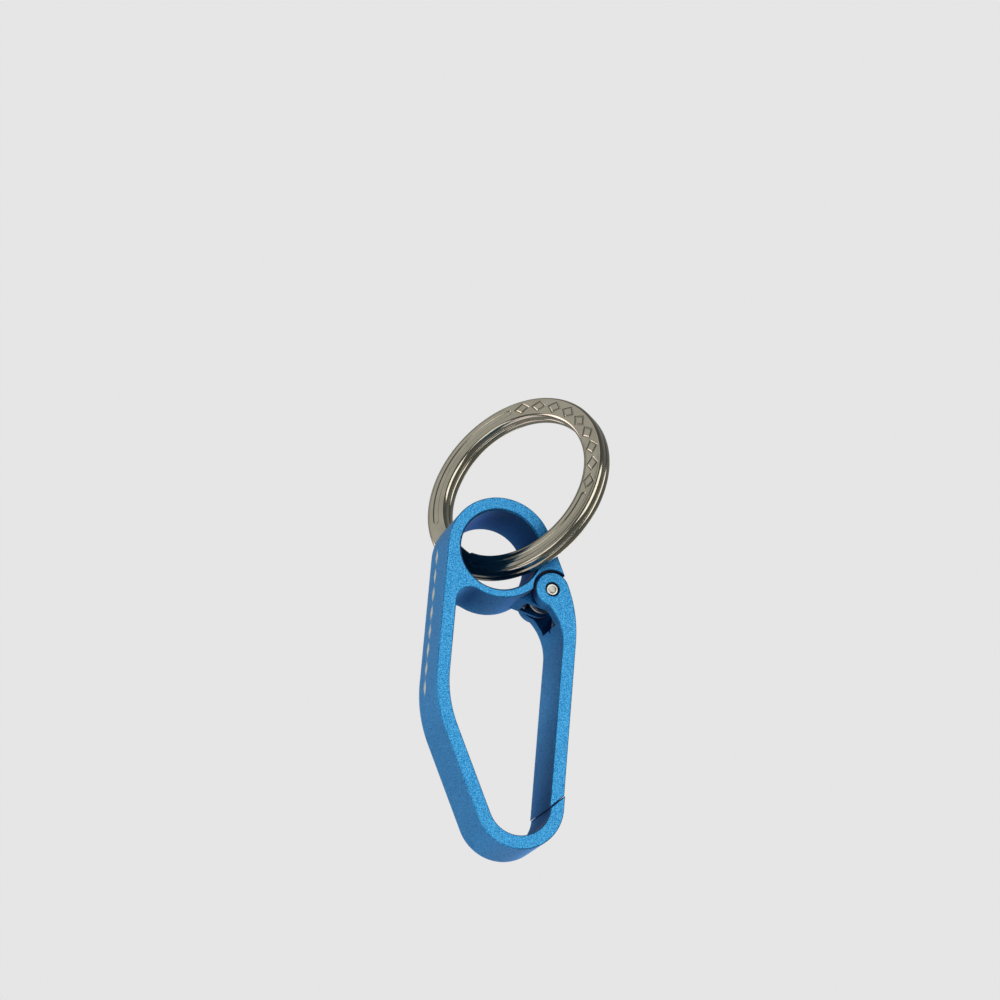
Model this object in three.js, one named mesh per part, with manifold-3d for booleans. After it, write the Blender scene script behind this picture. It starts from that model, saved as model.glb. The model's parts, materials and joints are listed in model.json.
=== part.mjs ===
// A carabiner keyring: a machined aluminium carabiner with a sprung gate, hung on a flat-wire split ring.
//
// The carabiner is drawn in a plane, with x across towards the gate, y up towards the eye and z out of
// its front face. The eye's centre, half way through the thickness, is that drawing's origin. One group
// then stands it up: drawing x is +X, drawing y is +Z, and the front face looks along -Y. The whole
// object's origin is the top of the split ring's inside, where it hangs on a finger or a hook.
// All lengths are millimetres and all angles are degrees.

import * as THREE from 'three';
import { mergeVertices } from 'three/addons/utils/BufferGeometryUtils.js';
import Module from 'manifold-3d';

const wasm = await Module();
wasm.setup();

// ---- Driving dimensions: the carabiner ----
const THICKNESS = 10;
const EYE_BORE_R = 6;
const EYE_OUTER_R = 8;
const EDGE_CHAMFER = 0.12;
const BORE_CHAMFER = 0.3;
const BAND_WIDTH = 2.02;

const HOOK_CENTRE = new THREE.Vector2(6, -37.3);
const HOOK_OUTER_R = 6.65;
const DIAGONAL_SLOPE = 26.3;
const BEND_OUTER_R = 20;
const NOSE_CUT_SLOPE = 45;
const NOSE_CUT_HEIGHT = -47.9;
const NOSE_GAP = 0.28;

// ---- The hinge ----
const PIN_CENTRE = new THREE.Vector2(8.3, -4.75);
const PIN_R = 0.98;
const PIN_END_CHAMFER = 0.15;
const PIN_RECESS = 0.1;
const EAR_HOLE_R = 1.05;
const TANG_HOLE_R = 1.03;
const SHOULDER_SLOPE = 25.5;
const SEAT_GAP = 0.35;
const SLOT_HALF_WIDTH = 3;
const SLOT_FAR_INSIDE = 3;
const SLOT_CLEARANCE_R = 2.75;
const SLOT_FLOOR_X = 10.65;
const SLOT_EDGE = new THREE.Vector2(9.8, -9.57);
const SLOT_END_HEIGHT = -9.35;
const WEB_TOP_HEIGHT = -5.8;
const TANG_HALF_WIDTH = 2.7;
const TANG_END_R = 2.4;
const TANG_ROOT_LENGTH = 3;
const TANG_ROOT_BORE = new THREE.Vector2(6.5, -1.15);
const TANG_ROOT_MIDDLE = new THREE.Vector2(3.9, -5.7);
const TANG_ROOT_BOTTOM = new THREE.Vector2(3.7, -6.2);

// ---- The gate ----
const GATE_OUTER_X = 12.5;
const GATE_INNER_X = 10.47;
const GATE_OUTER_R = 20.25;
const GATE_NECK_CENTRE = new THREE.Vector2(2.6, -13.08);

// ---- The opening under the eye ----
const UNDER_EYE_CENTRE = new THREE.Vector2(0.12, 0.27);
const UNDER_EYE_R = 7.55;
const CORNER_FILLET_R = 2.2;

// ---- The torsion spring and its pocket in the tang ----
const WIRE_R = 0.225;
const COIL_R = 2.075;
const COIL_BACK = -0.68;
const COIL_FRONT = 0.08;
const COIL_TURNS = 1.5;
const BODY_LEG_FOOT = -7.5;
const GATE_LEG_FOOT = new THREE.Vector2(10.2, -9.06);
const POCKET_R = 2.6;
const POCKET_BACK = -1.1;
const POCKET_FRONT = 0.5;
const POCKET_LEG_X = 5.9;
const POCKET_LEG_WIDTH = 1.1;

// ---- The split ring ----
const RING_OUTER_R = 15.4;
const RING_INNER_R = 12.05;
const COIL_THICKNESS = 1.25;
const COIL_SPACING = 1.35;
const RING_EDGE_R = 0.5;
const RING_CENTRE = new THREE.Vector3(3.006, 0.088, 11.704);
const RING_AXIS = new THREE.Vector3(-0.747, -0.6343, 0.1988).normalize();
const CROSSOVER_ANGLE = 226;
const CROSSOVER_SWEEP = 24;
const RING_END_GAP = 1.5;

// ---- How finely curves are cut into flats ----
const ARC_TOLERANCE = 0.012;
const MERGE_DISTANCE = 0.00001;
const BORE_SIDES = 72;
const SEAT_SIDES = 48;
const PIN_SIDES = 32;
const WIRE_SIDES = 8;
const WIRE_STEPS_PER_TURN = 28;
const RING_STEPS = 128;
const RING_CORNER_STEPS = 2;

// How far a cutter runs past the face that it leaves
const PAST = 1;

// Derived values
const HALF = THICKNESS / 2;
const HOOK_INNER_R = HOOK_OUTER_R - BAND_WIDTH;
const BEND_INNER_R = BEND_OUTER_R - BAND_WIDTH;
const RAIL_OUTER_X = -EYE_OUTER_R;
const RAIL_INNER_X = RAIL_OUTER_X + BAND_WIDTH;
const DIAGONAL_NORMAL = direction(180 + DIAGONAL_SLOPE);
const DIAGONAL_DEPTH = DIAGONAL_NORMAL.dot(HOOK_CENTRE) + HOOK_OUTER_R;
const SHOULDER_NORMAL = direction(SHOULDER_SLOPE);
const KNUCKLE_R = EYE_OUTER_R - SHOULDER_NORMAL.dot(PIN_CENTRE);
const SEAT_R = KNUCKLE_R + SEAT_GAP;
const RING_UP = new THREE.Vector3(0, 0, 1).projectOnPlane(RING_AXIS).normalize();
const HANG_POINT = RING_CENTRE.clone().addScaledVector(RING_UP, RING_INNER_R);

// ---------------------------------------------------------------- plane geometry helpers

function direction(angle) {
  const radians = THREE.MathUtils.degToRad(angle);
  return new THREE.Vector2(Math.cos(radians), Math.sin(radians));
}

function angleOf(centre, point) {
  return THREE.MathUtils.radToDeg(Math.atan2(point.y - centre.y, point.x - centre.x));
}

function onCircle(centre, radius, angle) {
  return direction(angle).multiplyScalar(radius).add(centre);
}

// Points along an arc, fine enough that no flat strays from the true curve by more than ARC_TOLERANCE.
function arc(centre, radius, from, to) {
  const largestStep = THREE.MathUtils.radToDeg(2 * Math.acos(1 - ARC_TOLERANCE / radius));
  const steps = Math.max(2, Math.ceil(Math.abs(to - from) / largestStep));
  const points = [];
  for (let step = 0; step <= steps; step += 1) {
    points.push(onCircle(centre, radius, from + ((to - from) * step) / steps));
  }
  return points;
}

function circle(centre, radius, sides) {
  const points = [];
  for (let side = 0; side < sides; side += 1) {
    points.push(onCircle(centre, radius, (360 * side) / sides));
  }
  return points;
}

// The two points where two circles cross: side +1 is to the left of the line from a to b, -1 to its right.
function circlesCross(a, radiusA, b, radiusB, side) {
  const between = b.clone().sub(a);
  const distance = between.length();
  const along = (distance ** 2 + radiusA ** 2 - radiusB ** 2) / (2 * distance);
  const across = Math.sqrt(radiusA ** 2 - along ** 2);
  const unit = between.divideScalar(distance);
  const left = new THREE.Vector2(-unit.y, unit.x);
  return a.clone().addScaledVector(unit, along).addScaledVector(left, side * across);
}

// Where a line from a point touches a circle: side +1 or -1 picks which of the two tangents.
function tangentAngle(centre, radius, point, side) {
  const distance = centre.distanceTo(point);
  const spread = THREE.MathUtils.radToDeg(Math.acos(radius / distance));
  return angleOf(centre, point) + side * spread;
}

// ---------------------------------------------------------------- solids

function extrudeBetween(points, back, front, chamfer = 0) {
  const geometry = new THREE.ExtrudeGeometry(new THREE.Shape(points), {
    depth: front - back - 2 * chamfer,
    bevelEnabled: chamfer > 0,
    bevelThickness: chamfer,
    bevelSize: chamfer,
    bevelOffset: -chamfer,
    bevelSegments: 1,
  });
  geometry.translate(0, 0, back + chamfer);
  return geometry;
}

function toSolid(geometry) {
  const bare = geometry.clone();
  bare.deleteAttribute('normal');
  bare.deleteAttribute('uv');
  const merged = mergeVertices(bare, MERGE_DISTANCE);
  const mesh = new wasm.Mesh({
    numProp: 3,
    vertProperties: new Float32Array(merged.attributes.position.array),
    triVerts: new Uint32Array(merged.index.array),
  });
  return new wasm.Manifold(mesh);
}

function toGeometry(solid) {
  const mesh = solid.getMesh();
  const geometry = new THREE.BufferGeometry();
  geometry.setAttribute('position', new THREE.BufferAttribute(mesh.vertProperties, 3));
  geometry.setIndex(new THREE.BufferAttribute(mesh.triVerts, 1));
  geometry.computeVertexNormals();
  return geometry;
}

function pinHole(radius) {
  return toSolid(extrudeBetween(circle(PIN_CENTRE, radius, PIN_SIDES), -HALF - PAST, HALF + PAST));
}

// A lathe solid about the drawing's z axis through the given centre.
function latheAboutZ(profile, centre, sides) {
  const points = profile.map(([radius, height]) => new THREE.Vector2(radius, height));
  const geometry = new THREE.LatheGeometry(points, sides);
  geometry.rotateX(Math.PI / 2);
  geometry.translate(centre.x, centre.y, 0);
  return geometry;
}

// ---------------------------------------------------------------- the carabiner's body

// The outline of the full-thickness body, anticlockwise from the top of its shoulder: round the eye,
// down the rail, round the bend, the diagonal and the hook to the nose, and back along the inside. It
// ends inside the round seat for the gate's knuckle, which is cut afterwards.
function bodyOutline() {
  const bendX = RAIL_OUTER_X + BEND_OUTER_R;
  const bendDepth = DIAGONAL_DEPTH - BEND_OUTER_R;
  const bendY = (bendDepth - DIAGONAL_NORMAL.x * bendX) / DIAGONAL_NORMAL.y;
  const bendCentre = new THREE.Vector2(bendX, bendY);
  const noseOuter = new THREE.Vector2(HOOK_CENTRE.x + HOOK_OUTER_R, 0);
  noseOuter.y = noseOuter.x + NOSE_CUT_HEIGHT;
  const cutDistance = (HOOK_CENTRE.x + NOSE_CUT_HEIGHT - HOOK_CENTRE.y) / Math.SQRT2;
  const cutSpread = THREE.MathUtils.radToDeg(Math.acos(-cutDistance / HOOK_INNER_R));
  const noseInnerAngle = cutSpread - NOSE_CUT_SLOPE;

  const filletX = RAIL_INNER_X + CORNER_FILLET_R;
  const filletReach = UNDER_EYE_R + CORNER_FILLET_R;
  const filletY = UNDER_EYE_CENTRE.y - Math.sqrt(filletReach ** 2 - (filletX - UNDER_EYE_CENTRE.x) ** 2);
  const filletCentre = new THREE.Vector2(filletX, filletY);
  const filletTop = angleOf(filletCentre, UNDER_EYE_CENTRE);

  const underEyeEnd = angleOf(UNDER_EYE_CENTRE, PIN_CENTRE);
  const shoulderEnd = onCircle(PIN_CENTRE, KNUCKLE_R, SHOULDER_SLOPE);
  const origin = new THREE.Vector2(0, 0);
  return [
    ...arc(origin, EYE_OUTER_R, SHOULDER_SLOPE, 180),
    ...arc(bendCentre, BEND_OUTER_R, 180, 180 + DIAGONAL_SLOPE),
    ...arc(HOOK_CENTRE, HOOK_OUTER_R, 180 + DIAGONAL_SLOPE, 360),
    noseOuter,
    ...arc(HOOK_CENTRE, HOOK_INNER_R, 360 + noseInnerAngle, 180 + DIAGONAL_SLOPE),
    ...arc(bendCentre, BEND_INNER_R, 180 + DIAGONAL_SLOPE, 180),
    ...arc(filletCentre, CORNER_FILLET_R, 180, filletTop),
    ...arc(UNDER_EYE_CENTRE, UNDER_EYE_R, filletTop - 180, underEyeEnd).slice(1),
    shoulderEnd,
  ];
}

// The middle of the body that reaches round the pin between the gate's ears.
function tangOutline() {
  const outerEnd = onCircle(PIN_CENTRE, TANG_END_R, SHOULDER_SLOPE);
  const alongShoulder = new THREE.Vector2(-SHOULDER_NORMAL.y, SHOULDER_NORMAL.x);
  const rootTop = outerEnd.clone().addScaledVector(alongShoulder, TANG_ROOT_LENGTH);
  const lowerTangent = tangentAngle(PIN_CENTRE, TANG_END_R, TANG_ROOT_BOTTOM, 1);
  return [
    rootTop,
    TANG_ROOT_BORE,
    TANG_ROOT_MIDDLE,
    TANG_ROOT_BOTTOM,
    ...arc(PIN_CENTRE, TANG_END_R, lowerTangent, SHOULDER_SLOPE),
  ];
}

// The pocket that leaves room for the spring's coil and for its leg on the body's side.
function springPocket() {
  const coilOutline = arc(PIN_CENTRE, POCKET_R, 0, 360).slice(1);
  const coilRoom = toSolid(extrudeBetween(coilOutline, POCKET_BACK, POCKET_FRONT));
  const legLength = SEAT_R + PAST;
  const legRoom = new THREE.BoxGeometry(POCKET_LEG_WIDTH, legLength, POCKET_FRONT - POCKET_BACK);
  const legX = POCKET_LEG_X + POCKET_LEG_WIDTH / 2;
  legRoom.translate(legX, PIN_CENTRE.y - legLength / 2, (POCKET_FRONT + POCKET_BACK) / 2);
  return coilRoom.add(toSolid(legRoom));
}

// A round cutter right through the body, which leaves a chamfer where it meets each face.
function chamferedHole(centre, radius, chamfer, sides) {
  const mouthR = radius + chamfer + PAST;
  const mouth = HALF + PAST;
  const profile = [
    [0, -mouth],
    [mouthR, -mouth],
    [radius, -HALF + chamfer],
    [radius, HALF - chamfer],
    [mouthR, mouth],
    [0, mouth],
  ];
  return toSolid(latheAboutZ(profile, centre, sides));
}

function bodyGeometry() {
  const plate = toSolid(extrudeBetween(bodyOutline(), -HALF, HALF, EDGE_CHAMFER));
  const tang = toSolid(extrudeBetween(tangOutline(), -TANG_HALF_WIDTH, TANG_HALF_WIDTH));
  const seat = chamferedHole(PIN_CENTRE, SEAT_R, EDGE_CHAMFER, SEAT_SIDES);
  const bore = chamferedHole(new THREE.Vector2(0, 0), EYE_BORE_R, BORE_CHAMFER, BORE_SIDES);
  const bored = plate.subtract(seat).add(tang).subtract(bore);
  return toGeometry(bored.subtract(springPocket()).subtract(pinHole(TANG_HOLE_R)));
}

// ---------------------------------------------------------------- the gate

// Anticlockwise from the knuckle's outer side: round the knuckle, down the inside, and up the outside.
function gateOutline() {
  const neckR = GATE_INNER_X - GATE_NECK_CENTRE.x;
  const neckStart = circlesCross(PIN_CENTRE, KNUCKLE_R, GATE_NECK_CENTRE, neckR, 1);
  const outerX = GATE_OUTER_X - GATE_OUTER_R;
  const outerDepth = EYE_OUTER_R - GATE_OUTER_R;
  const outerY = (outerDepth - SHOULDER_NORMAL.x * outerX) / SHOULDER_NORMAL.y;
  const outerCentre = new THREE.Vector2(outerX, outerY);
  const tipCut = NOSE_CUT_HEIGHT + NOSE_GAP * Math.SQRT2;
  const innerTip = new THREE.Vector2(GATE_INNER_X, GATE_INNER_X + tipCut);
  const outerTip = new THREE.Vector2(GATE_OUTER_X, GATE_OUTER_X + tipCut);
  return [
    ...arc(PIN_CENTRE, KNUCKLE_R, SHOULDER_SLOPE, angleOf(PIN_CENTRE, neckStart) + 360),
    ...arc(GATE_NECK_CENTRE, neckR, angleOf(GATE_NECK_CENTRE, neckStart), 0).slice(1),
    innerTip,
    outerTip,
    ...arc(outerCentre, GATE_OUTER_R, 0, SHOULDER_SLOPE).slice(0, -1),
  ];
}

// The slot between the ears: round the tang's end, down its floor, and out at its straight lower edge.
function gateSlot() {
  const back = -SLOT_HALF_WIDTH;
  const front = SLOT_HALF_WIDTH;
  const aboveKnuckle = PIN_CENTRE.y + 2 * KNUCKLE_R;
  const floorRise = Math.sqrt(SLOT_CLEARANCE_R ** 2 - (SLOT_FLOOR_X - PIN_CENTRE.x) ** 2);
  const floor = [
    new THREE.Vector2(SLOT_FAR_INSIDE, SLOT_EDGE.y),
    SLOT_EDGE,
    new THREE.Vector2(SLOT_FLOOR_X, SLOT_END_HEIGHT),
    new THREE.Vector2(SLOT_FLOOR_X, PIN_CENTRE.y - floorRise),
    new THREE.Vector2(PIN_CENTRE.x, aboveKnuckle),
    new THREE.Vector2(SLOT_FAR_INSIDE, aboveKnuckle),
  ];
  const webTop = [
    new THREE.Vector2(PIN_CENTRE.x, WEB_TOP_HEIGHT),
    new THREE.Vector2(GATE_OUTER_X + PAST, WEB_TOP_HEIGHT),
    new THREE.Vector2(GATE_OUTER_X + PAST, aboveKnuckle),
    new THREE.Vector2(PIN_CENTRE.x, aboveKnuckle),
  ];
  const clearance = arc(PIN_CENTRE, SLOT_CLEARANCE_R, 0, 360).slice(1);
  return toSolid(extrudeBetween(floor, back, front))
    .add(toSolid(extrudeBetween(webTop, back, front)))
    .add(toSolid(extrudeBetween(clearance, back, front)));
}

function gateGeometry() {
  const bar = toSolid(extrudeBetween(gateOutline(), -HALF, HALF, EDGE_CHAMFER));
  return toGeometry(bar.subtract(gateSlot()).subtract(pinHole(EAR_HOLE_R)));
}

// ---------------------------------------------------------------- the pin and the spring

function pinGeometry() {
  const end = HALF - PIN_RECESS;
  const profile = [
    [0, -end],
    [PIN_R - PIN_END_CHAMFER, -end],
    [PIN_R, -end + PIN_END_CHAMFER],
    [PIN_R, end - PIN_END_CHAMFER],
    [PIN_R - PIN_END_CHAMFER, end],
    [0, end],
  ];
  return latheAboutZ(profile, PIN_CENTRE, PIN_SIDES);
}

// The spring's centre line: up the leg on the body, clockwise round the pin, and down the gate's leg.
class SpringPath extends THREE.Curve {
  constructor() {
    super();
    this.leaveAngle = tangentAngle(PIN_CENTRE, COIL_R, GATE_LEG_FOOT, 1);
    this.sweep = 180 - this.leaveAngle + 360 * (COIL_TURNS - 0.5);
    const bodyLeg = PIN_CENTRE.y - BODY_LEG_FOOT;
    const coil = THREE.MathUtils.degToRad(this.sweep) * COIL_R;
    const gateLeg = onCircle(PIN_CENTRE, COIL_R, this.leaveAngle).distanceTo(GATE_LEG_FOOT);
    const length = bodyLeg + coil + gateLeg;
    this.coilStart = bodyLeg / length;
    this.coilEnd = (bodyLeg + coil) / length;
  }

  getPoint(t, target = new THREE.Vector3()) {
    if (t < this.coilStart) {
      const y = THREE.MathUtils.lerp(BODY_LEG_FOOT, PIN_CENTRE.y, t / this.coilStart);
      return target.set(PIN_CENTRE.x - COIL_R, y, COIL_BACK);
    }
    if (t < this.coilEnd) {
      const along = (t - this.coilStart) / (this.coilEnd - this.coilStart);
      const point = onCircle(PIN_CENTRE, COIL_R, 180 - this.sweep * along);
      return target.set(point.x, point.y, THREE.MathUtils.lerp(COIL_BACK, COIL_FRONT, along));
    }
    const along = (t - this.coilEnd) / (1 - this.coilEnd);
    const point = onCircle(PIN_CENTRE, COIL_R, this.leaveAngle).lerp(GATE_LEG_FOOT, along);
    return target.set(point.x, point.y, COIL_FRONT);
  }
}

function springGeometry() {
  const section = new THREE.Shape(circle(new THREE.Vector2(0, 0), WIRE_R, WIRE_SIDES));
  const steps = Math.round(WIRE_STEPS_PER_TURN * (COIL_TURNS + 1));
  const options = { steps, extrudePath: new SpringPath(), bevelEnabled: false };
  return new THREE.ExtrudeGeometry(section, options);
}

// ---------------------------------------------------------------- the split ring

function ringSection() {
  const middle = (RING_OUTER_R + RING_INNER_R) / 2;
  const halfWidth = (RING_OUTER_R - RING_INNER_R) / 2 - RING_EDGE_R;
  const halfHeight = COIL_THICKNESS / 2 - RING_EDGE_R;
  const points = [];
  for (let corner = 0; corner < 4; corner += 1) {
    const right = corner === 0 || corner === 3 ? 1 : -1;
    const top = corner < 2 ? 1 : -1;
    const centre = new THREE.Vector2(middle + right * halfWidth, top * halfHeight);
    for (let step = 0; step <= RING_CORNER_STEPS; step += 1) {
      points.push(onCircle(centre, RING_EDGE_R, 90 * (corner + step / RING_CORNER_STEPS)));
    }
  }
  return new THREE.Shape(points);
}

// How far along the ring's axis the wire lies, from 0 in the back coil to 1 in the front one.
function coilRise(turned) {
  const fromMiddle = (turned - 360) / CROSSOVER_SWEEP + 0.5;
  return THREE.MathUtils.smoothstep(fromMiddle, 0, 1);
}

// Two turns of flat wire: the section is extruded straight, then bent round the ring's axis.
function ringGeometry() {
  const middle = (RING_OUTER_R + RING_INNER_R) / 2;
  const endGap = THREE.MathUtils.radToDeg(RING_END_GAP / middle);
  const start = CROSSOVER_SWEEP / 2 + endGap;
  const options = { steps: RING_STEPS, depth: 1, bevelEnabled: false };
  const geometry = new THREE.ExtrudeGeometry(ringSection(), options);
  const position = geometry.attributes.position;
  for (let index = 0; index < position.count; index += 1) {
    const turned = THREE.MathUtils.lerp(start, 720 - start, position.getZ(index));
    const place = onCircle(new THREE.Vector2(0, 0), position.getX(index), CROSSOVER_ANGLE - turned);
    const rise = (coilRise(turned) - 0.5) * COIL_SPACING;
    position.setXYZ(index, place.x, place.y, position.getY(index) + rise);
  }
  return geometry;
}

// ---------------------------------------------------------------- materials and assembly

function blueAnodised() {
  return new THREE.MeshStandardMaterial({ color: 0x3f9bd6, roughness: 0.45, metalness: 0.8 });
}

function satinNickel() {
  return new THREE.MeshStandardMaterial({ color: 0x8f8973, roughness: 0.3, metalness: 1 });
}

function pinSteel() {
  return new THREE.MeshStandardMaterial({ color: 0xc4c0b4, roughness: 0.3, metalness: 1 });
}

function springSteel() {
  return new THREE.MeshStandardMaterial({ color: 0x77736a, roughness: 0.35, metalness: 1 });
}

function named(name, geometry, material) {
  const mesh = new THREE.Mesh(geometry, material);
  mesh.name = name;
  return mesh;
}

function carabiner() {
  const group = new THREE.Group();
  group.add(named('carabiner_body', bodyGeometry(), blueAnodised()));
  group.add(named('gate', gateGeometry(), blueAnodised()));
  group.add(named('hinge_pin', pinGeometry(), pinSteel()));
  group.add(named('torsion_spring', springGeometry(), springSteel()));
  group.rotation.x = Math.PI / 2;
  return group;
}

// The ring is made flat, with its own y axis pointing to its highest point, and then tilted into place.
function splitRing() {
  const mesh = named('split_ring', ringGeometry(), satinNickel());
  const side = new THREE.Vector3().crossVectors(RING_UP, RING_AXIS);
  const turn = new THREE.Matrix4().makeBasis(side, RING_UP, RING_AXIS);
  mesh.quaternion.setFromRotationMatrix(turn);
  mesh.position.copy(RING_CENTRE);
  return mesh;
}

const keyring = new THREE.Group();
keyring.add(carabiner());
keyring.add(splitRing());
keyring.position.copy(HANG_POINT).negate();

export default keyring;
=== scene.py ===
"""A carabiner keyring: a bead-blasted, blue anodised carabiner with a sprung gate, hung on a split ring.

Shapes are drawn in millimetres about the centre of the carabiner's eye, with x across towards the gate,
y up towards the ring and z out of the front face. at() turns such a point into the row frame in metres.
"""

import json
import math

import bmesh
import bpy
from mathutils import Matrix, Vector


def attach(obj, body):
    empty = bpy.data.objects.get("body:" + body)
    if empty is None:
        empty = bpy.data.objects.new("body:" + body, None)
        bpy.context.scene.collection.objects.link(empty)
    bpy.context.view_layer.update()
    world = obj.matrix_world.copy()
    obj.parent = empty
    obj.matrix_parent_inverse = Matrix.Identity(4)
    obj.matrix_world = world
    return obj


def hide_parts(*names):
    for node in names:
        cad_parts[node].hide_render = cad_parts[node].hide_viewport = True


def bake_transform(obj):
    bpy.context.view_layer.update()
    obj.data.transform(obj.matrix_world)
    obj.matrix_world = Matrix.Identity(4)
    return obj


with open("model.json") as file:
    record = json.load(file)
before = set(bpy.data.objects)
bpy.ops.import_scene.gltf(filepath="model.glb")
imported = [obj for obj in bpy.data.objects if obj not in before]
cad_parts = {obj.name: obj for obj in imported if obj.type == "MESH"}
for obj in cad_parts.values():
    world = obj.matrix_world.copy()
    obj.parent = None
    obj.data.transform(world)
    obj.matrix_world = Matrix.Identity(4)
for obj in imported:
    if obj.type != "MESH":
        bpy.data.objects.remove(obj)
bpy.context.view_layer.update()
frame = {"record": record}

MM = 0.001
JOINTS = {joint["name"]: joint for joint in frame["record"]["behaviour"]["joints"]}
EYE = Vector(JOINTS["carabiner_swing"]["pos_m"])
PIN_IN_FRAME = Vector(JOINTS["gate_hinge"]["pos_m"])

# ---- The carabiner, in mm ----
HALF = 5.0
EYE_BORE_R = 6.0
EYE_OUTER_R = 8.0
BAND_WIDTH = 2.02
EDGE_BREAK = 0.13
BORE_BREAK = 0.3
HOOK = (6.0, -37.3)
HOOK_OUTER_R = 6.64
DIAGONAL_SLOPE = 26.3
BEND_OUTER_R = 20.0
NOSE_CUT_SLOPE = 45.0
NOSE_CUT_HEIGHT = -47.87
NOSE_GAP = 0.08
UNDER_EYE = (0.12, 0.27)
UNDER_EYE_R = 7.55
CORNER_FILLET_R = 2.2

# ---- The hinge, in mm ----
PIN = ((PIN_IN_FRAME.x - EYE.x) / MM, (PIN_IN_FRAME.z - EYE.z) / MM)
PIN_R = 0.98
PIN_RECESS = 0.2
PIN_END_BREAK = 0.18
PIN_DISH_R = 0.62
PIN_DISH_DEPTH = 0.1
EAR_HOLE_R = 1.05
TANG_HOLE_R = 1.03
HOLE_BREAK = 0.1
SHOULDER_SLOPE = 25.5
SEAT_GAP = 0.35
SLOT_HALF_WIDTH = 3.0
SLOT_CLEARANCE_R = 2.75
SLOT_FLOOR_X = 10.65
SLOT_EDGE = (9.8, -9.57)
SLOT_END_HEIGHT = -9.35
LEG_NOTCH_WIDTH = 0.55
LEG_NOTCH_DEPTH = 0.4
WEB_TOP_HEIGHT = -5.8
SLOT_INSIDE_X = 3.0
TANG_HALF_WIDTH = 2.7
TANG_END_R = 2.4
TANG_BREAK = 0.12
TANG_ROOT_DEPTH = 3.0
TANG_ROOT_BOTTOM = (3.7, -6.2)
TANG_ROOT_INSIDE = ((6.5, -1.15), (3.9, -5.7))

# ---- The gate, in mm ----
GATE_OUTER_X = 12.5
GATE_INNER_X = 10.47
GATE_OUTER_R = 20.25
GATE_NECK = (2.6, -13.08)

# ---- The torsion spring, in mm ----
WIRE_R = 0.225
COIL_R = 2.075
COIL_BACK = -0.68
COIL_FRONT = 0.08
BODY_LEG_FOOT = (5.6, -6.5)
GATE_LEG_FOOT = (10.2, -9.06)
POCKET_R = 2.6
POCKET_BACK = -1.9
POCKET_FRONT = 1.9
POCKET_LEG = (5.3, 7.0)

# ---- The row of marks on the straight side, in mm ----
MARKS_TOP = 0.7
MARKS_DEPTH = -1.5
MARK_COUNT = 8
MARK_PITCH = 2.86
MARK_HALF_LENGTH = 1.25
MARK_HALF_WIDTH = 0.7
MARK_PAINT_DEPTH = 0.3

# ---- The split ring, in mm and degrees ----
RING_OUTER_R = 15.38
RING_INNER_R = 12.05
RING_MIDDLE_R = (RING_OUTER_R + RING_INNER_R) / 2
RING_CENTRE = Vector((3.006, 0.088, 11.704))
RING_AXIS = Vector((-0.747, -0.6343, 0.1988)).normalized()
WIRE_THICKNESS = 1.27
WIRE_SPACING = 1.33
FACE_EDGE_R = 0.55
SEAM_EDGE_R = 0.3
FACE_CROWN = 0.065
CROSSOVER_ANGLE = 226.0
CROSSOVER_SWEEP = 24.0
WIRE_END_GAP = 1.85
CHANNELS = ((106.0, 200.0), (252.0, 344.0))
CHANNEL_HALF_WIDTH = 0.42
CHANNEL_DEPTH = 0.1
CHANNEL_WALL = 0.16
LOZENGE_COUNT = 9
LOZENGE_SPAN = (-6.0, 96.0)
LOZENGE_HALF_LENGTH = 1.15
LOZENGE_HALF_WIDTH = 0.85
LOZENGE_LINE = 0.1
LOZENGE_DEPTH = 0.06
LOZENGE_WALL = 0.08
RING_SMOOTH_ANGLE = math.radians(50)

SMOOTH_ANGLE = math.radians(30)
CUTTER_PAST = 0.6


# ---------------------------------------------------------------- plane geometry, in mm and degrees

def at(x, y, z):
    """A point of the carabiner's drawing, in the row frame in metres."""
    return EYE + Vector((x, -z, y)) * MM


def on_circle(centre, radius, angle):
    turn = math.radians(angle)
    return (centre[0] + radius * math.cos(turn), centre[1] + radius * math.sin(turn))


def angle_of(centre, point):
    return math.degrees(math.atan2(point[1] - centre[1], point[0] - centre[0]))


def arc(centre, radius, start, end, tolerance=0.0015):
    """Points along an arc whose flats stray from the true curve by no more than the tolerance."""
    largest = 2 * math.degrees(math.acos(1 - tolerance / radius))
    steps = max(3, math.ceil(abs(end - start) / largest))
    return [on_circle(centre, radius, start + (end - start) * step / steps) for step in range(steps + 1)]


def circles_cross(a, radius_a, b, radius_b, side):
    """Where two circles cross: side +1 is left of the line from a to b, and -1 is right of it."""
    start = Vector(a)
    between = Vector(b) - start
    distance = between.length
    along = (distance**2 + radius_a**2 - radius_b**2) / (2 * distance)
    across = math.sqrt(radius_a**2 - along**2)
    unit = between / distance
    left = Vector((-unit.y, unit.x))
    return tuple(start + unit * along + left * side * across)


def tangent_angle(centre, radius, point, side):
    spread = math.degrees(math.acos(radius / (Vector(point) - Vector(centre)).length))
    return angle_of(centre, point) + side * spread


def line_depth(centre, slope):
    """How far a point lies along the direction of that slope."""
    return centre[0] * math.cos(math.radians(slope)) + centre[1] * math.sin(math.radians(slope))


KNUCKLE_R = EYE_OUTER_R - line_depth(PIN, SHOULDER_SLOPE)
SEAT_R = KNUCKLE_R + SEAT_GAP
HOOK_INNER_R = HOOK_OUTER_R - BAND_WIDTH
RAIL_OUTER_X = -EYE_OUTER_R
RAIL_INNER_X = RAIL_OUTER_X + BAND_WIDTH


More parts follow.
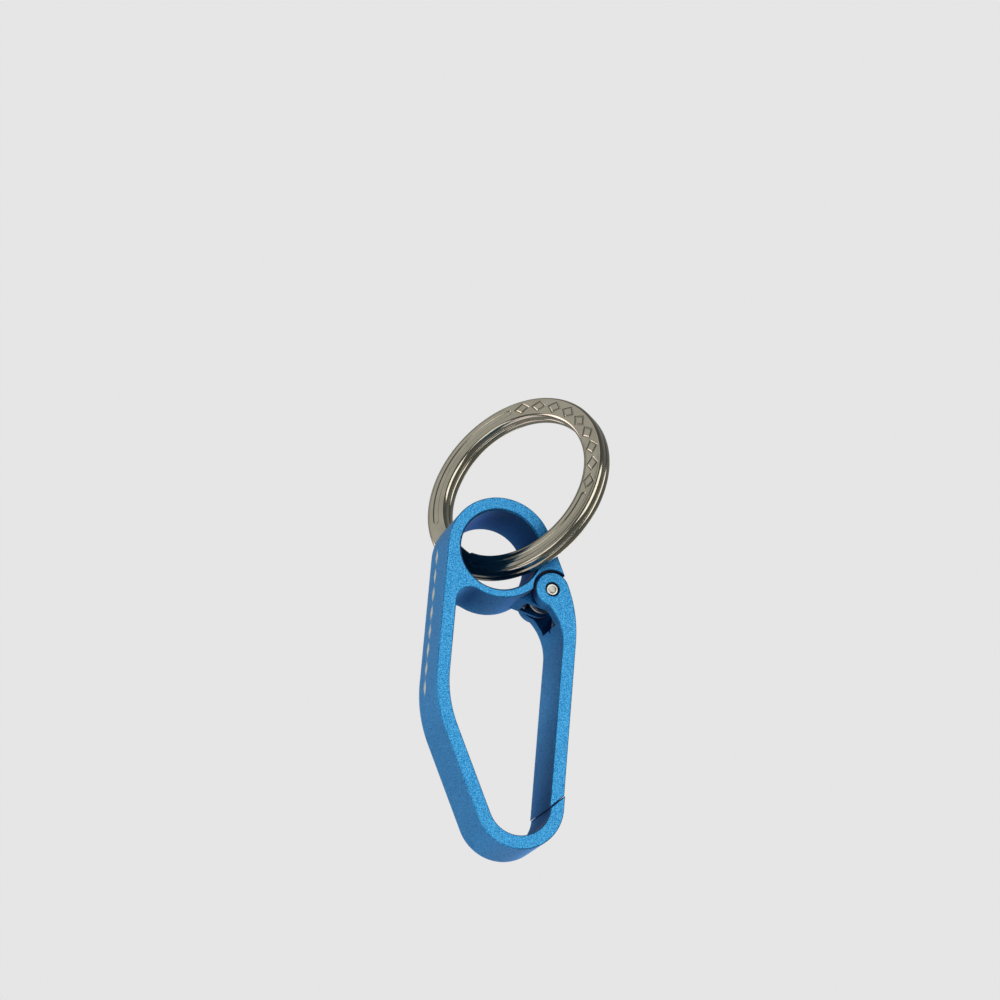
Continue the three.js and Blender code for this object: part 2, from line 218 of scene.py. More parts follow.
def body_outline():
    """Anticlockwise: round the eye, down the rail, the diagonal and the hook, and back along the inside.

    It ends inside the round seat for the gate's knuckle, which is cut afterwards.
    """
    bend_x = RAIL_OUTER_X + BEND_OUTER_R
    diagonal = 180 + DIAGONAL_SLOPE
    depth = line_depth(HOOK, diagonal) + HOOK_OUTER_R
    lean = math.radians(DIAGONAL_SLOPE)
    bend = (bend_x, (BEND_OUTER_R - depth - math.cos(lean) * bend_x) / math.sin(lean))
    nose_x = HOOK[0] + HOOK_OUTER_R
    cut_distance = (HOOK[0] + NOSE_CUT_HEIGHT - HOOK[1]) / math.sqrt(2)
    nose_inner = -NOSE_CUT_SLOPE + math.degrees(math.acos(-cut_distance / HOOK_INNER_R))

    fillet_x = RAIL_INNER_X + CORNER_FILLET_R
    reach = UNDER_EYE_R + CORNER_FILLET_R
    fillet = (fillet_x, UNDER_EYE[1] - math.sqrt(reach**2 - (fillet_x - UNDER_EYE[0]) ** 2))
    fillet_top = angle_of(fillet, UNDER_EYE)

    return [
        *arc((0, 0), EYE_OUTER_R, SHOULDER_SLOPE, 180),
        *arc(bend, BEND_OUTER_R, 180, diagonal),
        *arc(HOOK, HOOK_OUTER_R, diagonal, 360),
        (nose_x, nose_x + NOSE_CUT_HEIGHT),
        *arc(HOOK, HOOK_INNER_R, 360 + nose_inner, diagonal),
        *arc(bend, BEND_OUTER_R - BAND_WIDTH, diagonal, 180),
        *arc(fillet, CORNER_FILLET_R, 180, fillet_top),
        *arc(UNDER_EYE, UNDER_EYE_R, fillet_top - 180, angle_of(UNDER_EYE, PIN))[1:],
        on_circle(PIN, KNUCKLE_R, SHOULDER_SLOPE),
    ]


def tang_outline():
    """The middle of the body that reaches round the pin between the gate's ears."""
    lean = math.radians(SHOULDER_SLOPE)
    outer_end = on_circle(PIN, TANG_END_R, SHOULDER_SLOPE)
    root_top = (
        outer_end[0] - TANG_ROOT_DEPTH * math.sin(lean),
        outer_end[1] + TANG_ROOT_DEPTH * math.cos(lean),
    )
    lower = tangent_angle(PIN, TANG_END_R, TANG_ROOT_BOTTOM, 1)
    end = arc(PIN, TANG_END_R, lower, SHOULDER_SLOPE)
    return [root_top, *TANG_ROOT_INSIDE, TANG_ROOT_BOTTOM, *end]


def gate_outline():
    """Anticlockwise from the knuckle's outer side: round the knuckle, down the inside, up the outside."""
    neck_r = GATE_INNER_X - GATE_NECK[0]
    neck_start = circles_cross(PIN, KNUCKLE_R, GATE_NECK, neck_r, 1)
    outer_x = GATE_OUTER_X - GATE_OUTER_R
    lean = math.radians(SHOULDER_SLOPE)
    outer_y = (EYE_OUTER_R - GATE_OUTER_R - math.cos(lean) * outer_x) / math.sin(lean)
    tip_cut = NOSE_CUT_HEIGHT + NOSE_GAP * math.sqrt(2)
    return [
        *arc(PIN, KNUCKLE_R, SHOULDER_SLOPE, angle_of(PIN, neck_start) + 360),
        *arc(GATE_NECK, neck_r, angle_of(GATE_NECK, neck_start), 0)[1:],
        (GATE_INNER_X, GATE_INNER_X + tip_cut),
        (GATE_OUTER_X, GATE_OUTER_X + tip_cut),
        *arc((outer_x, outer_y), GATE_OUTER_R, 0, SHOULDER_SLOPE)[:-1],
    ]


# ---------------------------------------------------------------- mesh building

def new_object(name, mesh):
    piece = bpy.data.objects.new(name, mesh)
    bpy.context.scene.collection.objects.link(piece)
    return piece


def from_rings(name, rings, closed=False):
    """Joins rings of points, all of one length, into a closed skin. Open stacks get a cap at each end."""
    mesh = bmesh.new()
    rows = [[mesh.verts.new(point) for point in ring] for ring in rings]
    count = len(rows[0])
    pairs = list(zip(rows, rows[1:]))
    if closed:
        pairs.append((rows[-1], rows[0]))
    else:
        mesh.faces.new(list(reversed(rows[0])))
        mesh.faces.new(rows[-1])
    for low, high in pairs:
        for index in range(count):
            after = (index + 1) % count
            mesh.faces.new((low[index], low[after], high[after], high[index]))
    bmesh.ops.recalc_face_normals(mesh, faces=mesh.faces)
    data = bpy.data.meshes.new(name)
    mesh.to_mesh(data)
    mesh.free()
    return new_object(name, data)


def inset(outline, amount):
    """The outline moved inwards by that much, with mitred corners."""
    moved = []
    for index, point in enumerate(outline):
        here = Vector(point)
        before = (here - Vector(outline[index - 1])).normalized()
        after = (Vector(outline[(index + 1) % len(outline)]) - here).normalized()
        inward = Vector((-before.y - after.y, before.x + after.x)).normalized()
        square = inward.dot(Vector((-before.y, before.x)))
        moved.append(tuple(here + inward * amount / square))
    return moved


def broken_edge(size):
    """The steps (inset, drop) of a small chamfer whose two corners are themselves rounded."""
    soft = 0.16
    return [(size * a, size * b) for a, b in (
        (1 + soft, 0), (1, 0.035), (1 - soft, 0.13), (0.13, 1 - soft), (0.035, 1), (0, 1 + soft),
    )]


def prism(name, outline, back, front, edge=0.0):
    """An extrusion of the outline from back to front, with its edges broken by a small chamfer."""
    if edge:
        steps = broken_edge(edge)
        layers = [(back + drop, amount) for amount, drop in steps]
        layers += [(front - drop, amount) for amount, drop in reversed(steps)]
    else:
        layers = [(back, 0), (front, 0)]
    rings = []
    for height, amount in layers:
        ring = inset(outline, amount) if amount else outline
        rings.append([at(x, y, height) for x, y in ring])
    return from_rings(name, rings)


def lathe(name, centre, profile, sides=192):
    """A solid of revolution about the drawing's z through the centre. The profile is (radius, height)."""
    rings = []
    for radius, height in profile:
        points = [on_circle(centre, radius, 360 * side / sides) for side in range(sides)]
        rings.append([at(x, y, height) for x, y in points])
    return from_rings(name, rings)


def apply_modifiers(piece):
    """Bakes the piece's modifiers into its own mesh."""
    graph = bpy.context.evaluated_depsgraph_get()
    baked = bpy.data.meshes.new_from_object(piece.evaluated_get(graph))
    piece.modifiers.clear()
    piece.data = baked


def combine(piece, other, operation):
    """Cuts the other solid from the piece, or joins it on, and removes the other."""
    cut = piece.modifiers.new("combine", "BOOLEAN")
    cut.operation = operation
    cut.solver = "EXACT"
    cut.object = other
    apply_modifiers(piece)
    bpy.data.objects.remove(other)


def finish_edges(piece):
    """Smooth curved walls, flat faces and crisp edges."""
    for face in piece.data.polygons:
        face.use_smooth = True
    piece.data.set_sharp_from_angle(angle=SMOOTH_ANGLE)
    weighted = piece.modifiers.new("weighted normals", "WEIGHTED_NORMAL")
    weighted.keep_sharp = True
    weighted.weight = 100
    apply_modifiers(piece)


def hole_cutter(radius, mouth, break_size):
    """A cutter for a hole about the pin, with a small chamfer where it leaves a face at height mouth."""
    outermost = radius + break_size + CUTTER_PAST
    profile = [
        (outermost, -mouth - CUTTER_PAST),
        (radius, -mouth + break_size),
        (radius, mouth - break_size),
        (outermost, mouth + CUTTER_PAST),
    ]
    return lathe("hole cutter", PIN, profile)


def round_cutter(centre, radius, break_size):
    """A cutter right through the body that leaves a soft chamfer where it meets each face."""
    soft = break_size * 0.2
    mouth = [
        (radius, HALF - break_size - soft),
        (radius + soft, HALF - break_size + soft),
        (radius + break_size - soft, HALF - soft),
        (radius + break_size + CUTTER_PAST, HALF + CUTTER_PAST),
    ]
    profile = [(reach, -height) for reach, height in reversed(mouth)] + mouth
    return lathe("round cutter", centre, profile, 360)


# ---------------------------------------------------------------- the pieces

def carabiner_body():
    """The flat outline with the gate's seat cut out, the tang joined on, and its bores and pocket cut."""
    body = prism("carabiner_body_fine", body_outline(), -HALF, HALF, EDGE_BREAK)
    combine(body, round_cutter(PIN, SEAT_R, EDGE_BREAK), "DIFFERENCE")
    combine(body, prism("tang", tang_outline(), -TANG_HALF_WIDTH, TANG_HALF_WIDTH, TANG_BREAK), "UNION")
    combine(body, round_cutter((0, 0), EYE_BORE_R, BORE_BREAK), "DIFFERENCE")
    coil_room = arc(PIN, POCKET_R, 0, 360)[1:]
    combine(body, prism("coil room", coil_room, POCKET_BACK, POCKET_FRONT), "DIFFERENCE")
    left, right = POCKET_LEG
    bottom = PIN[1] - SEAT_R - 1
    leg_room = [(left, bottom), (right, bottom), (right, PIN[1]), (left, PIN[1])]
    combine(body, prism("leg room", leg_room, POCKET_BACK, POCKET_FRONT), "DIFFERENCE")
    combine(body, hole_cutter(TANG_HOLE_R, TANG_HALF_WIDTH, HOLE_BREAK), "DIFFERENCE")
    finish_edges(body)
    return body


def slot_cutters():
    """What is taken out between the gate's ears: the floor, the web, room for the tang, and the notch."""
    above = PIN[1] + 2 * KNUCKLE_R
    inside = SLOT_INSIDE_X
    rise = math.sqrt(SLOT_CLEARANCE_R**2 - (SLOT_FLOOR_X - PIN[0]) ** 2)
    floor_top = (SLOT_FLOOR_X, PIN[1] - rise)
    floor = [
        (inside, SLOT_EDGE[1]), SLOT_EDGE, (SLOT_FLOOR_X, SLOT_END_HEIGHT),
        floor_top, (PIN[0], above), (inside, above),
    ]
    right = GATE_OUTER_X + 1
    web_top = [(PIN[0], WEB_TOP_HEIGHT), (right, WEB_TOP_HEIGHT), (right, above), (PIN[0], above)]
    notch_low = SLOT_EDGE[1] - LEG_NOTCH_DEPTH
    notch = [(inside, notch_low), (SLOT_FLOOR_X, notch_low), floor_top, (inside, floor_top[1])]
    full = SLOT_HALF_WIDTH
    yield prism("slot floor", floor, -full, full)
    yield prism("slot web", web_top, -full, full)
    yield prism("slot round", arc(PIN, SLOT_CLEARANCE_R, 0, 360)[1:], -full, full)
    yield prism("leg notch", notch, COIL_FRONT - LEG_NOTCH_WIDTH / 2, COIL_FRONT + LEG_NOTCH_WIDTH / 2)


def gate():
    """The bar, with the slot that makes its two ears, and the pin's hole through them."""
    bar = prism("gate_fine", gate_outline(), -HALF, HALF, EDGE_BREAK)
    for cutter in slot_cutters():
        combine(bar, cutter, "DIFFERENCE")
    combine(bar, hole_cutter(EAR_HOLE_R, HALF, HOLE_BREAK), "DIFFERENCE")
    finish_edges(bar)
    return bar


def hinge_pin():
    """A plain pin with chamfered ends, each turned with a shallow dish that leaves a bright rim."""
    end = HALF - PIN_RECESS
    near_axis = 0.02
    soft = 0.03
    chamfer_foot = end - PIN_END_BREAK
    half_profile = [
        (near_axis, end - PIN_DISH_DEPTH), (PIN_DISH_R * 0.6, end - PIN_DISH_DEPTH * 0.85),
        (PIN_DISH_R * 0.85, end - PIN_DISH_DEPTH * 0.4), (PIN_DISH_R, end - PIN_DISH_DEPTH * 0.08),
        (PIN_DISH_R + soft, end), (PIN_R - PIN_END_BREAK - soft, end),
        (PIN_R - PIN_END_BREAK + soft, end - soft), (PIN_R - soft, chamfer_foot + soft),
        (PIN_R, chamfer_foot - soft),
    ]
    profile = [(radius, -height) for radius, height in half_profile]
    profile += list(reversed(half_profile))
    pin = lathe("hinge_pin_fine", PIN, profile, 96)
    finish_edges(pin)
    return pin


def wire(name, path, sides=20):
    """A round wire along a list of points, carried without twist."""
    rings = []
    across = Vector((0, 1, 0))
    for index, point in enumerate(path):
        ahead = path[min(index + 1, len(path) - 1)]
        behind = path[max(index - 1, 0)]
        forward = (ahead - behind).normalized()
        side = across.cross(forward).normalized()
        up = forward.cross(side)
        ring = []
        for step in range(sides):
            turn = 2 * math.pi * step / sides
            ring.append(point + (side * math.cos(turn) + up * math.sin(turn)) * WIRE_R * MM)
        rings.append(ring)
    return from_rings(name, rings)


def spring_coil():
    """The leg that rests on the body, and the coil round the pin."""
    leave = tangent_angle(PIN, COIL_R, GATE_LEG_FOOT, 1)
    sweep = 180 - leave + 360
    steps = 180
    foot = Vector(BODY_LEG_FOOT)
    coil_start = Vector((PIN[0] - COIL_R, PIN[1]))
    leg_steps = 12
    leg = []
    for step in range(leg_steps):
        point = foot.lerp(coil_start, step / leg_steps)
        leg.append(at(point.x, point.y, COIL_BACK))
    coil = []
    for step in range(steps + 1):
        along = step / steps
        x, y = on_circle(PIN, COIL_R, 180 - sweep * along)
        coil.append(at(x, y, COIL_BACK + (COIL_FRONT - COIL_BACK) * along))
    piece = wire("spring_coil", leg + coil)
    finish_edges(piece)
    return piece


def spring_leg():
    """The leg that pushes on the gate, with the last few degrees of the coil."""
    leave = tangent_angle(PIN, COIL_R, GATE_LEG_FOOT, 1)
    start = Vector(on_circle(PIN, COIL_R, leave))
    foot = Vector(GATE_LEG_FOOT)
    steps = 24
    points = [start.lerp(foot, step / steps) for step in range(steps + 1)]
    piece = wire("spring_leg", [at(point.x, point.y, COIL_FRONT) for point in points])
    finish_edges(piece)
    return piece


# ---------------------------------------------------------------- the split ring

def smoothstep(value):
    value = min(1.0, max(0.0, value))
    return value * value * (3 - 2 * value)


def channel_depth(offset, angle):
    """The long shallow channels pressed into the ring's face, with round ends."""
    depth = 0.0
    for start, end in CHANNELS:
        middle = (start + end) / 2
        half = (end - start) / 2
        away = abs((angle - middle + 180) % 360 - 180)
        past = max(0.0, math.radians(away - half) * RING_MIDDLE_R)
        distance = math.hypot(offset, past)
        depth = max(depth, smoothstep((CHANNEL_HALF_WIDTH - distance) / CHANNEL_WALL + 0.5))
    return depth * CHANNEL_DEPTH


def lozenge_depth(offset, angle):
    """A row of plain engraved lozenges along the stretch between the channels."""
    first, last = LOZENGE_SPAN
    pitch = (last - first) / (LOZENGE_COUNT - 1)
    nearest = round(((angle - first + 180) % 360 - 180) / pitch)
    nearest = min(LOZENGE_COUNT - 1, max(0, nearest))
    away = (angle - first - nearest * pitch + 180) % 360 - 180
    along = math.radians(away) * RING_MIDDLE_R
    size = abs(along) / LOZENGE_HALF_LENGTH + abs(offset) / LOZENGE_HALF_WIDTH
    distance = abs(size - 1) * LOZENGE_HALF_WIDTH * LOZENGE_HALF_LENGTH
    distance /= math.hypot(LOZENGE_HALF_WIDTH, LOZENGE_HALF_LENGTH)
    return LOZENGE_DEPTH * smoothstep((LOZENGE_LINE - distance) / LOZENGE_WALL + 0.5)


def wire_section(upper):
    """The flat wire's outline (across, along the axis). upper is 0 in the lower coil and 1 in the upper."""
    half_width = (RING_OUTER_R - RING_INNER_R) / 2
    half_height = WIRE_THICKNESS / 2
    top_r = SEAM_EDGE_R + (FACE_EDGE_R - SEAM_EDGE_R) * upper
    bottom_r = FACE_EDGE_R + (SEAM_EDGE_R - FACE_EDGE_R) * upper
    corner_steps = 8
    points = []
    for side, radius in ((1, top_r), (-1, bottom_r)):
        flat = half_width - radius
        start = 0 if side > 0 else 180
        for step in range(corner_steps + 1):
            turn = math.radians(start + 90 * step / corner_steps)
            across = side * flat + radius * math.cos(turn)
            points.append((across, side * (half_height - radius) + radius * math.sin(turn)))
        face_steps = 44 if side > 0 else 22
        for step in range(1, face_steps):
            across = side * flat * (1 - 2 * step / face_steps)
            points.append((across, side * half_height))
        for step in range(corner_steps + 1):
            turn = math.radians(start + 90 + 90 * step / corner_steps)
            across = -side * flat + radius * math.cos(turn)
            points.append((across, side * (half_height - radius) + radius * math.sin(turn)))
    return points


def face_detail(across, height, upper, angle):
    """How far a point of the wire's outer face lies below the plain section, as a negative number."""
    outer_face = height > 0 if upper > 0.5 else height < 0
    if not outer_face or abs(height) < WIRE_THICKNESS / 2 - 1e-6:
        return 0.0
    half_flat = (RING_OUTER_R - RING_INNER_R) / 2 - FACE_EDGE_R
    lift = FACE_CROWN * ((across / half_flat) ** 2)
    cut = channel_depth(across, angle)
    if upper > 0.5:
        cut += lozenge_depth(across, angle)
    return -(lift + cut)


def ring_turns():
    """The stations round the two coils, closer together where the face is engraved."""
    turned = CROSSOVER_SWEEP / 2 + math.degrees(WIRE_END_GAP / RING_MIDDLE_R)
    last = 720 - turned
    plain_step = 0.8
    engraved_step = 0.33
    margin = 8
    first_engraved = LOZENGE_SPAN[0] - margin + 360
    last_engraved = LOZENGE_SPAN[1] + margin
    stations = []
    while turned < last:
        stations.append(turned)
        angle = (CROSSOVER_ANGLE - turned) % 360
        engraved = turned > 360 and (angle < last_engraved or angle > first_engraved)
        turned += engraved_step if engraved else plain_step
    stations.append(last)
    return stations


def split_ring():
    """Two turns of flat wire, stepping from the lower coil to the upper one over the crossover."""
    up = (Vector((0, 0, 1)) - RING_AXIS * RING_AXIS.z).normalized()
    side = up.cross(RING_AXIS)
    centre = EYE + RING_CENTRE * MM
    rings = []
    for turned in ring_turns():
        upper = smoothstep((turned - 360) / CROSSOVER_SWEEP + 0.5)
        angle = CROSSOVER_ANGLE - turned
        turn = math.radians(angle)
        outward = side * math.cos(turn) + up * math.sin(turn)
        ring = []
        for across, height in wire_section(upper):
            lift = face_detail(across, height, upper, angle)
            sign = 1 if upper > 0.5 else -1
            along = height + sign * lift + (upper - 0.5) * WIRE_SPACING
            ring.append(centre + (outward * (RING_MIDDLE_R + across) + RING_AXIS * along) * MM)
        rings.append(ring)
    ring = from_rings("split_ring_fine", rings)
    for face in ring.data.polygons:
        face.use_smooth = True
    ring.data.set_sharp_from_angle(angle=RING_SMOOTH_ANGLE)
    return ring


# ---------------------------------------------------------------- materials

class Nodes:
    """A material's node tree, with short calls to add and join its nodes."""

    def __init__(self, name):
        self.material = bpy.data.materials.new(name)
        self.material.use_nodes = True
        self.tree = self.material.node_tree
        self.shader = self.tree.nodes["Principled BSDF"]
        self.place = self.add("ShaderNodeTexCoord").outputs["Object"]

    def add(self, kind, **settings):
        node = self.tree.nodes.new(kind)
        for name, value in settings.items():
            setattr(node, name, value)
        return node

    def join(self, output, target):
        self.tree.links.new(output, target)

    def math(self, operation, a, b=0.0):
        node = self.add("ShaderNodeMath", operation=operation)
        for value, target in zip((a, b), node.inputs):
            if isinstance(value, (int, float)):
                target.default_value = value
            else:
                self.join(value, target)
        return node.outputs["Value"]

    def blend_colours(self, factor, low, high):
        node = self.add("ShaderNodeMix", data_type="RGBA")
        self.join(factor, node.inputs["Factor"])
        for colour, target in ((low, node.inputs["A"]), (high, node.inputs["B"])):
            if isinstance(colour, tuple):
                target.default_value = (*colour, 1)
            else:
                self.join(colour, target)
        return node.outputs["Result"]

    def noise(self, scale, detail=2.0, roughness=0.5):
        node = self.add("ShaderNodeTexNoise")
        node.inputs["Scale"].default_value = scale
        node.inputs["Detail"].default_value = detail
        node.inputs["Roughness"].default_value = roughness
        self.join(self.place, node.inputs["Vector"])
        return node.outputs["Fac"]

    def ramp(self, factor, stops):
        node = self.add("ShaderNodeValToRGB")
        elements = node.color_ramp.elements
        while len(elements) < len(stops):
            elements.new(0.5)
        for element, (position, colour) in zip(elements, stops):
            element.position = position
            element.color = (*colour, 1)
        self.join(factor, node.inputs["Fac"])
        return node.outputs["Color"]

    def spread(self, factor, low, high):
        node = self.add("ShaderNodeMapRange")
        node.inputs["To Min"].default_value = low
        node.inputs["To Max"].default_value = high
        self.join(factor, node.inputs["Value"])
        return node.outputs["Result"]

    def openness(self, reach, power):
        """1 on open surfaces, falling towards 0 in gaps and corners within that reach in metres: the mask
        for painted shade.
        """
        node = self.add("ShaderNodeAmbientOcclusion")
        node.samples = 12
        node.inputs["Distance"].default_value = reach
        return self.math("POWER", node.outputs["AO"], power)

    def bump(self, height, strength, distance):
        node = self.add("ShaderNodeBump")
        node.inputs["Strength"].default_value = strength
        node.inputs["Distance"].default_value = distance
        self.join(height, node.inputs["Height"])
        self.join(node.outputs["Normal"], self.shader.inputs["Normal"])


def side_marks(nodes):
    """1 on the pale lozenges printed in a row along the straight side's outer face, and 0 elsewhere."""
    split = nodes.add("ShaderNodeSeparateXYZ")
    nodes.join(nodes.place, split.inputs["Vector"])
    across, depth, height = split.outputs
    top = at(0, MARKS_TOP, 0).z
    pitch = MARK_PITCH * MM
    turns = nodes.math("DIVIDE", nodes.math("SUBTRACT", top, height), pitch)
    along = nodes.math("ABSOLUTE", nodes.math("SUBTRACT", nodes.math("FRACT", turns), 0.5))
    along = nodes.math("DIVIDE", along, MARK_HALF_LENGTH / MARK_PITCH)
    aside = nodes.math("ABSOLUTE", nodes.math("SUBTRACT", depth, at(0, 0, MARKS_DEPTH).y))
    aside = nodes.math("DIVIDE", aside, MARK_HALF_WIDTH * MM)
    in_lozenge = nodes.math("LESS_THAN", nodes.math("ADD", along, aside), 1.0)
    on_side = nodes.math("LESS_THAN", across, at(RAIL_OUTER_X + MARK_PAINT_DEPTH, 0, 0).x)
    in_row = nodes.math("COMPARE", turns, MARK_COUNT / 2)
    in_row.node.inputs[2].default_value = MARK_COUNT / 2
    return nodes.math("MULTIPLY", nodes.math("MULTIPLY", in_lozenge, on_side), in_row)


def blue_anodised():
    """Bead-blasted aluminium, anodised blue: a fine even grain with tiny bright and dark specks, and
    painted shade in gaps and corners.
    """
    blues = [(0.3, (0.01, 0.14, 0.39)), (0.5, (0.05, 0.33, 0.64)), (0.7, (0.15, 0.57, 0.88))]
    painted_gap_shade_blue = (0.0, 0.03, 0.16)
    mark_colour = (0.68, 0.7, 0.54)
    nodes = Nodes("blue_anodised")
    nodes.shader.inputs["Specular Tint"].default_value = (0.45, 0.55, 1.0, 1)
    nodes.shader.inputs["Sheen Weight"].default_value = 0.16
    nodes.shader.inputs["Sheen Roughness"].default_value = 0.4
    grain = nodes.noise(5600, 2.0, 0.6)
    blue = nodes.ramp(grain, blues)
    # Painted shade: the blue is blended towards a near-black blue in gaps and corners, by ambient
    # occlusion.
    shaded = nodes.blend_colours(nodes.openness(0.016, 1.6), painted_gap_shade_blue, blue)
    marks = side_marks(nodes)
    nodes.join(nodes.blend_colours(marks, shaded, mark_colour), nodes.shader.inputs["Base Color"])
    nodes.join(nodes.math("SUBTRACT", 1.0, marks), nodes.shader.inputs["Metallic"])
    nodes.join(nodes.spread(nodes.noise(900), 0.5, 0.62), nodes.shader.inputs["Roughness"])
    nodes.bump(grain, 0.4, 0.00002)
    return nodes.material


def satin_nickel():
    """Plated spring steel with a satin grain."""
    nickels = [(0.3, (0.47, 0.43, 0.33)), (0.7, (0.55, 0.51, 0.40))]
    nodes = Nodes("satin_nickel")
    nodes.shader.inputs["Metallic"].default_value = 1.0
    nodes.join(nodes.ramp(nodes.noise(420, 4.0), nickels), nodes.shader.inputs["Base Color"])
    nodes.join(nodes.spread(nodes.noise(5000), 0.11, 0.17), nodes.shader.inputs["Roughness"])
    return nodes.material


def bright_steel():
    """Turned steel with a painted highlight: the pin's ends are grey in the middle and painted brighter
    towards their rims.
    """
    middle_steels = [(0.3, (0.25, 0.245, 0.21)), (0.7, (0.42, 0.41, 0.36))]
    painted_highlight_steels = [(0.3, (0.46, 0.45, 0.4)), (0.7, (0.68, 0.67, 0.6))]
    brighter_from = 0.45
    brighter_rate = 3.0
    nodes = Nodes("pin_steel")
    nodes.shader.inputs["Metallic"].default_value = 1.0
    cloud = nodes.noise(1500, 3.0)
    split = nodes.add("ShaderNodeSeparateXYZ")
    nodes.join(nodes.place, split.inputs["Vector"])
    across = nodes.math("SUBTRACT", split.outputs["X"], PIN_IN_FRAME.x)
    rise = nodes.math("SUBTRACT", split.outputs["Z"], PIN_IN_FRAME.z)
    squares = nodes.math("ADD", nodes.math("MULTIPLY", across, across), nodes.math("MULTIPLY", rise, rise))
    outwards = nodes.math("DIVIDE", nodes.math("SQRT", squares), PIN_R * MM)
    painted_rim_highlight = nodes.math("MULTIPLY", nodes.math("SUBTRACT", outwards, brighter_from), brighter_rate)
    # Painted highlight: the pin's ends are painted brighter towards the rim, with darker grey left in the
    # middle.
    steel = nodes.blend_colours(painted_rim_highlight, nodes.ramp(cloud, middle_steels), nodes.ramp(cloud, painted_highlight_steels))
    nodes.join(steel, nodes.shader.inputs["Base Color"])
    nodes.join(nodes.spread(cloud, 0.2, 0.34), nodes.shader.inputs["Roughness"])
    nodes.bump(cloud, 0.2, 0.00001)
    return nodes.material


def drawn_wire():
    """Spring wire, clouded grey."""
    steels = [(0.3, (0.38, 0.36, 0.32)), (0.7, (0.55, 0.53, 0.48))]
    nodes = Nodes("spring_steel")
    nodes.shader.inputs["Metallic"].default_value = 1.0
    cloud = nodes.noise(2400, 3.0)
    nodes.join(nodes.ramp(cloud, steels), nodes.shader.inputs["Base Color"])
    nodes.join(nodes.spread(cloud, 0.25, 0.42), nodes.shader.inputs["Roughness"])
    return nodes.material


def plain_emitter(name, colour, strength):
    """A surface that only glows."""
    material = bpy.data.materials.new(name)
    material.use_nodes = True
    tree = material.node_tree
    tree.nodes.clear()
    glow = tree.nodes.new("ShaderNodeEmission")
    glow.inputs["Color"].default_value = (*colour, 1)
    glow.inputs["Strength"].default_value = strength
    output = tree.nodes.new("ShaderNodeOutputMaterial")
    tree.links.new(glow.outputs["Emission"], output.inputs["Surface"])
    return material


def pale_floor_paint():
    """A pale, faintly clouded floor, lit mostly by its own glow, so that it is even out to its edge."""
    tints = [(0.3, (0.76, 0.76, 0.76)), (0.7, (0.8, 0.8, 0.8))]
    cloud_tint = (0.7, 0.7, 0.7)
    nodes = Nodes("pale_floor")
    tint = nodes.ramp(nodes.noise(3), tints)
    clouds = nodes.spread(nodes.noise(5), 0.0, 0.2)
    nodes.join(nodes.blend_colours(clouds, tint, cloud_tint), nodes.shader.inputs["Emission Color"])
    nodes.shader.inputs["Emission Strength"].default_value = FLOOR_GLOW
    nodes.shader.inputs["Base Color"].default_value = (0.03, 0.03, 0.03, 1)
    nodes.shader.inputs["Roughness"].default_value = 0.9
    nodes.shader.inputs["Specular IOR Level"].default_value = 0.0
    return nodes.material


# ---------------------------------------------------------------- camera, stage and light

CAMERA_FROM_EYE = Vector((-98.6, -385.6, -132.1)) * MM
CAMERA_RIGHT = Vector((0.9576, -0.2762, 0.0824))
CAMERA_UP = Vector((-0.1677, -0.3013, 0.9387))
CAMERA_LENS = 101.93
CAMERA_SENSOR = 36.0
CAMERA_CLIP_START = 0.01
FLOOR_BELOW_EYE = 0.32
BACKDROP_R = 2.5
FLOOR_R = 0.98 * BACKDROP_R
BACKDROP_LEVEL = 0.79
FLOOR_GLOW = 1.0


def add_camera():
    """A long lens in front of the carabiner, a little to its left and below it."""
    data = bpy.data.cameras.new("camera")
    data.lens = CAMERA_LENS
    data.sensor_width = CAMERA_SENSOR
    data.clip_start = CAMERA_CLIP_START
    camera = bpy.data.objects.new("camera", data)
    bpy.context.scene.collection.objects.link(camera)
    back = CAMERA_RIGHT.cross(CAMERA_UP)
    turn = Matrix((CAMERA_RIGHT, CAMERA_UP, back)).transposed().to_4x4()
    camera.matrix_world = Matrix.Translation(EYE + CAMERA_FROM_EYE) @ turn
    bpy.context.scene.camera = camera


def add_softbox(name, direction, distance, size, radiance, colour=(1, 1, 1)):
    """A large area light facing the eye from a direction, which the camera itself doesn't see."""
    data = bpy.data.lights.new(name, "AREA")
    data.shape = "RECTANGLE"
    data.size, data.size_y = size
    data.energy = radiance * math.pi * size[0] * size[1]
    data.color = colour
    light = bpy.data.objects.new(name, data)
    bpy.context.scene.collection.objects.link(light)
    offset = Vector(direction).normalized() * distance
    light.location = EYE + offset
    light.rotation_euler = (-offset).to_track_quat("-Z", "Y").to_euler()
    light.visible_camera = False


def add_stage():
    """A pale floor under a glowing dome. The camera sees both, and the object isn't lit by them."""
    floor_mesh = bmesh.new()
    bmesh.ops.create_circle(floor_mesh, cap_ends=True, segments=96, radius=FLOOR_R)
    data = bpy.data.meshes.new("floor")
    floor_mesh.to_mesh(data)
    floor_mesh.free()
    floor = new_object("floor", data)
    floor.location = (EYE.x, EYE.y, EYE.z - FLOOR_BELOW_EYE)
    data.materials.append(pale_floor_paint())
    floor.visible_glossy = False
    floor.visible_diffuse = False
    floor.visible_shadow = False

    dome_mesh = bmesh.new()
    bmesh.ops.create_uvsphere(dome_mesh, u_segments=64, v_segments=32, radius=BACKDROP_R)
    data = bpy.data.meshes.new("backdrop")
    dome_mesh.to_mesh(data)
    dome_mesh.free()
    dome = new_object("backdrop", data)
    dome.location = EYE
    data.materials.append(plain_emitter("backdrop_glow", (1, 1, 1), BACKDROP_LEVEL))
    dome.visible_glossy = False
    dome.visible_diffuse = False
    dome.visible_shadow = False


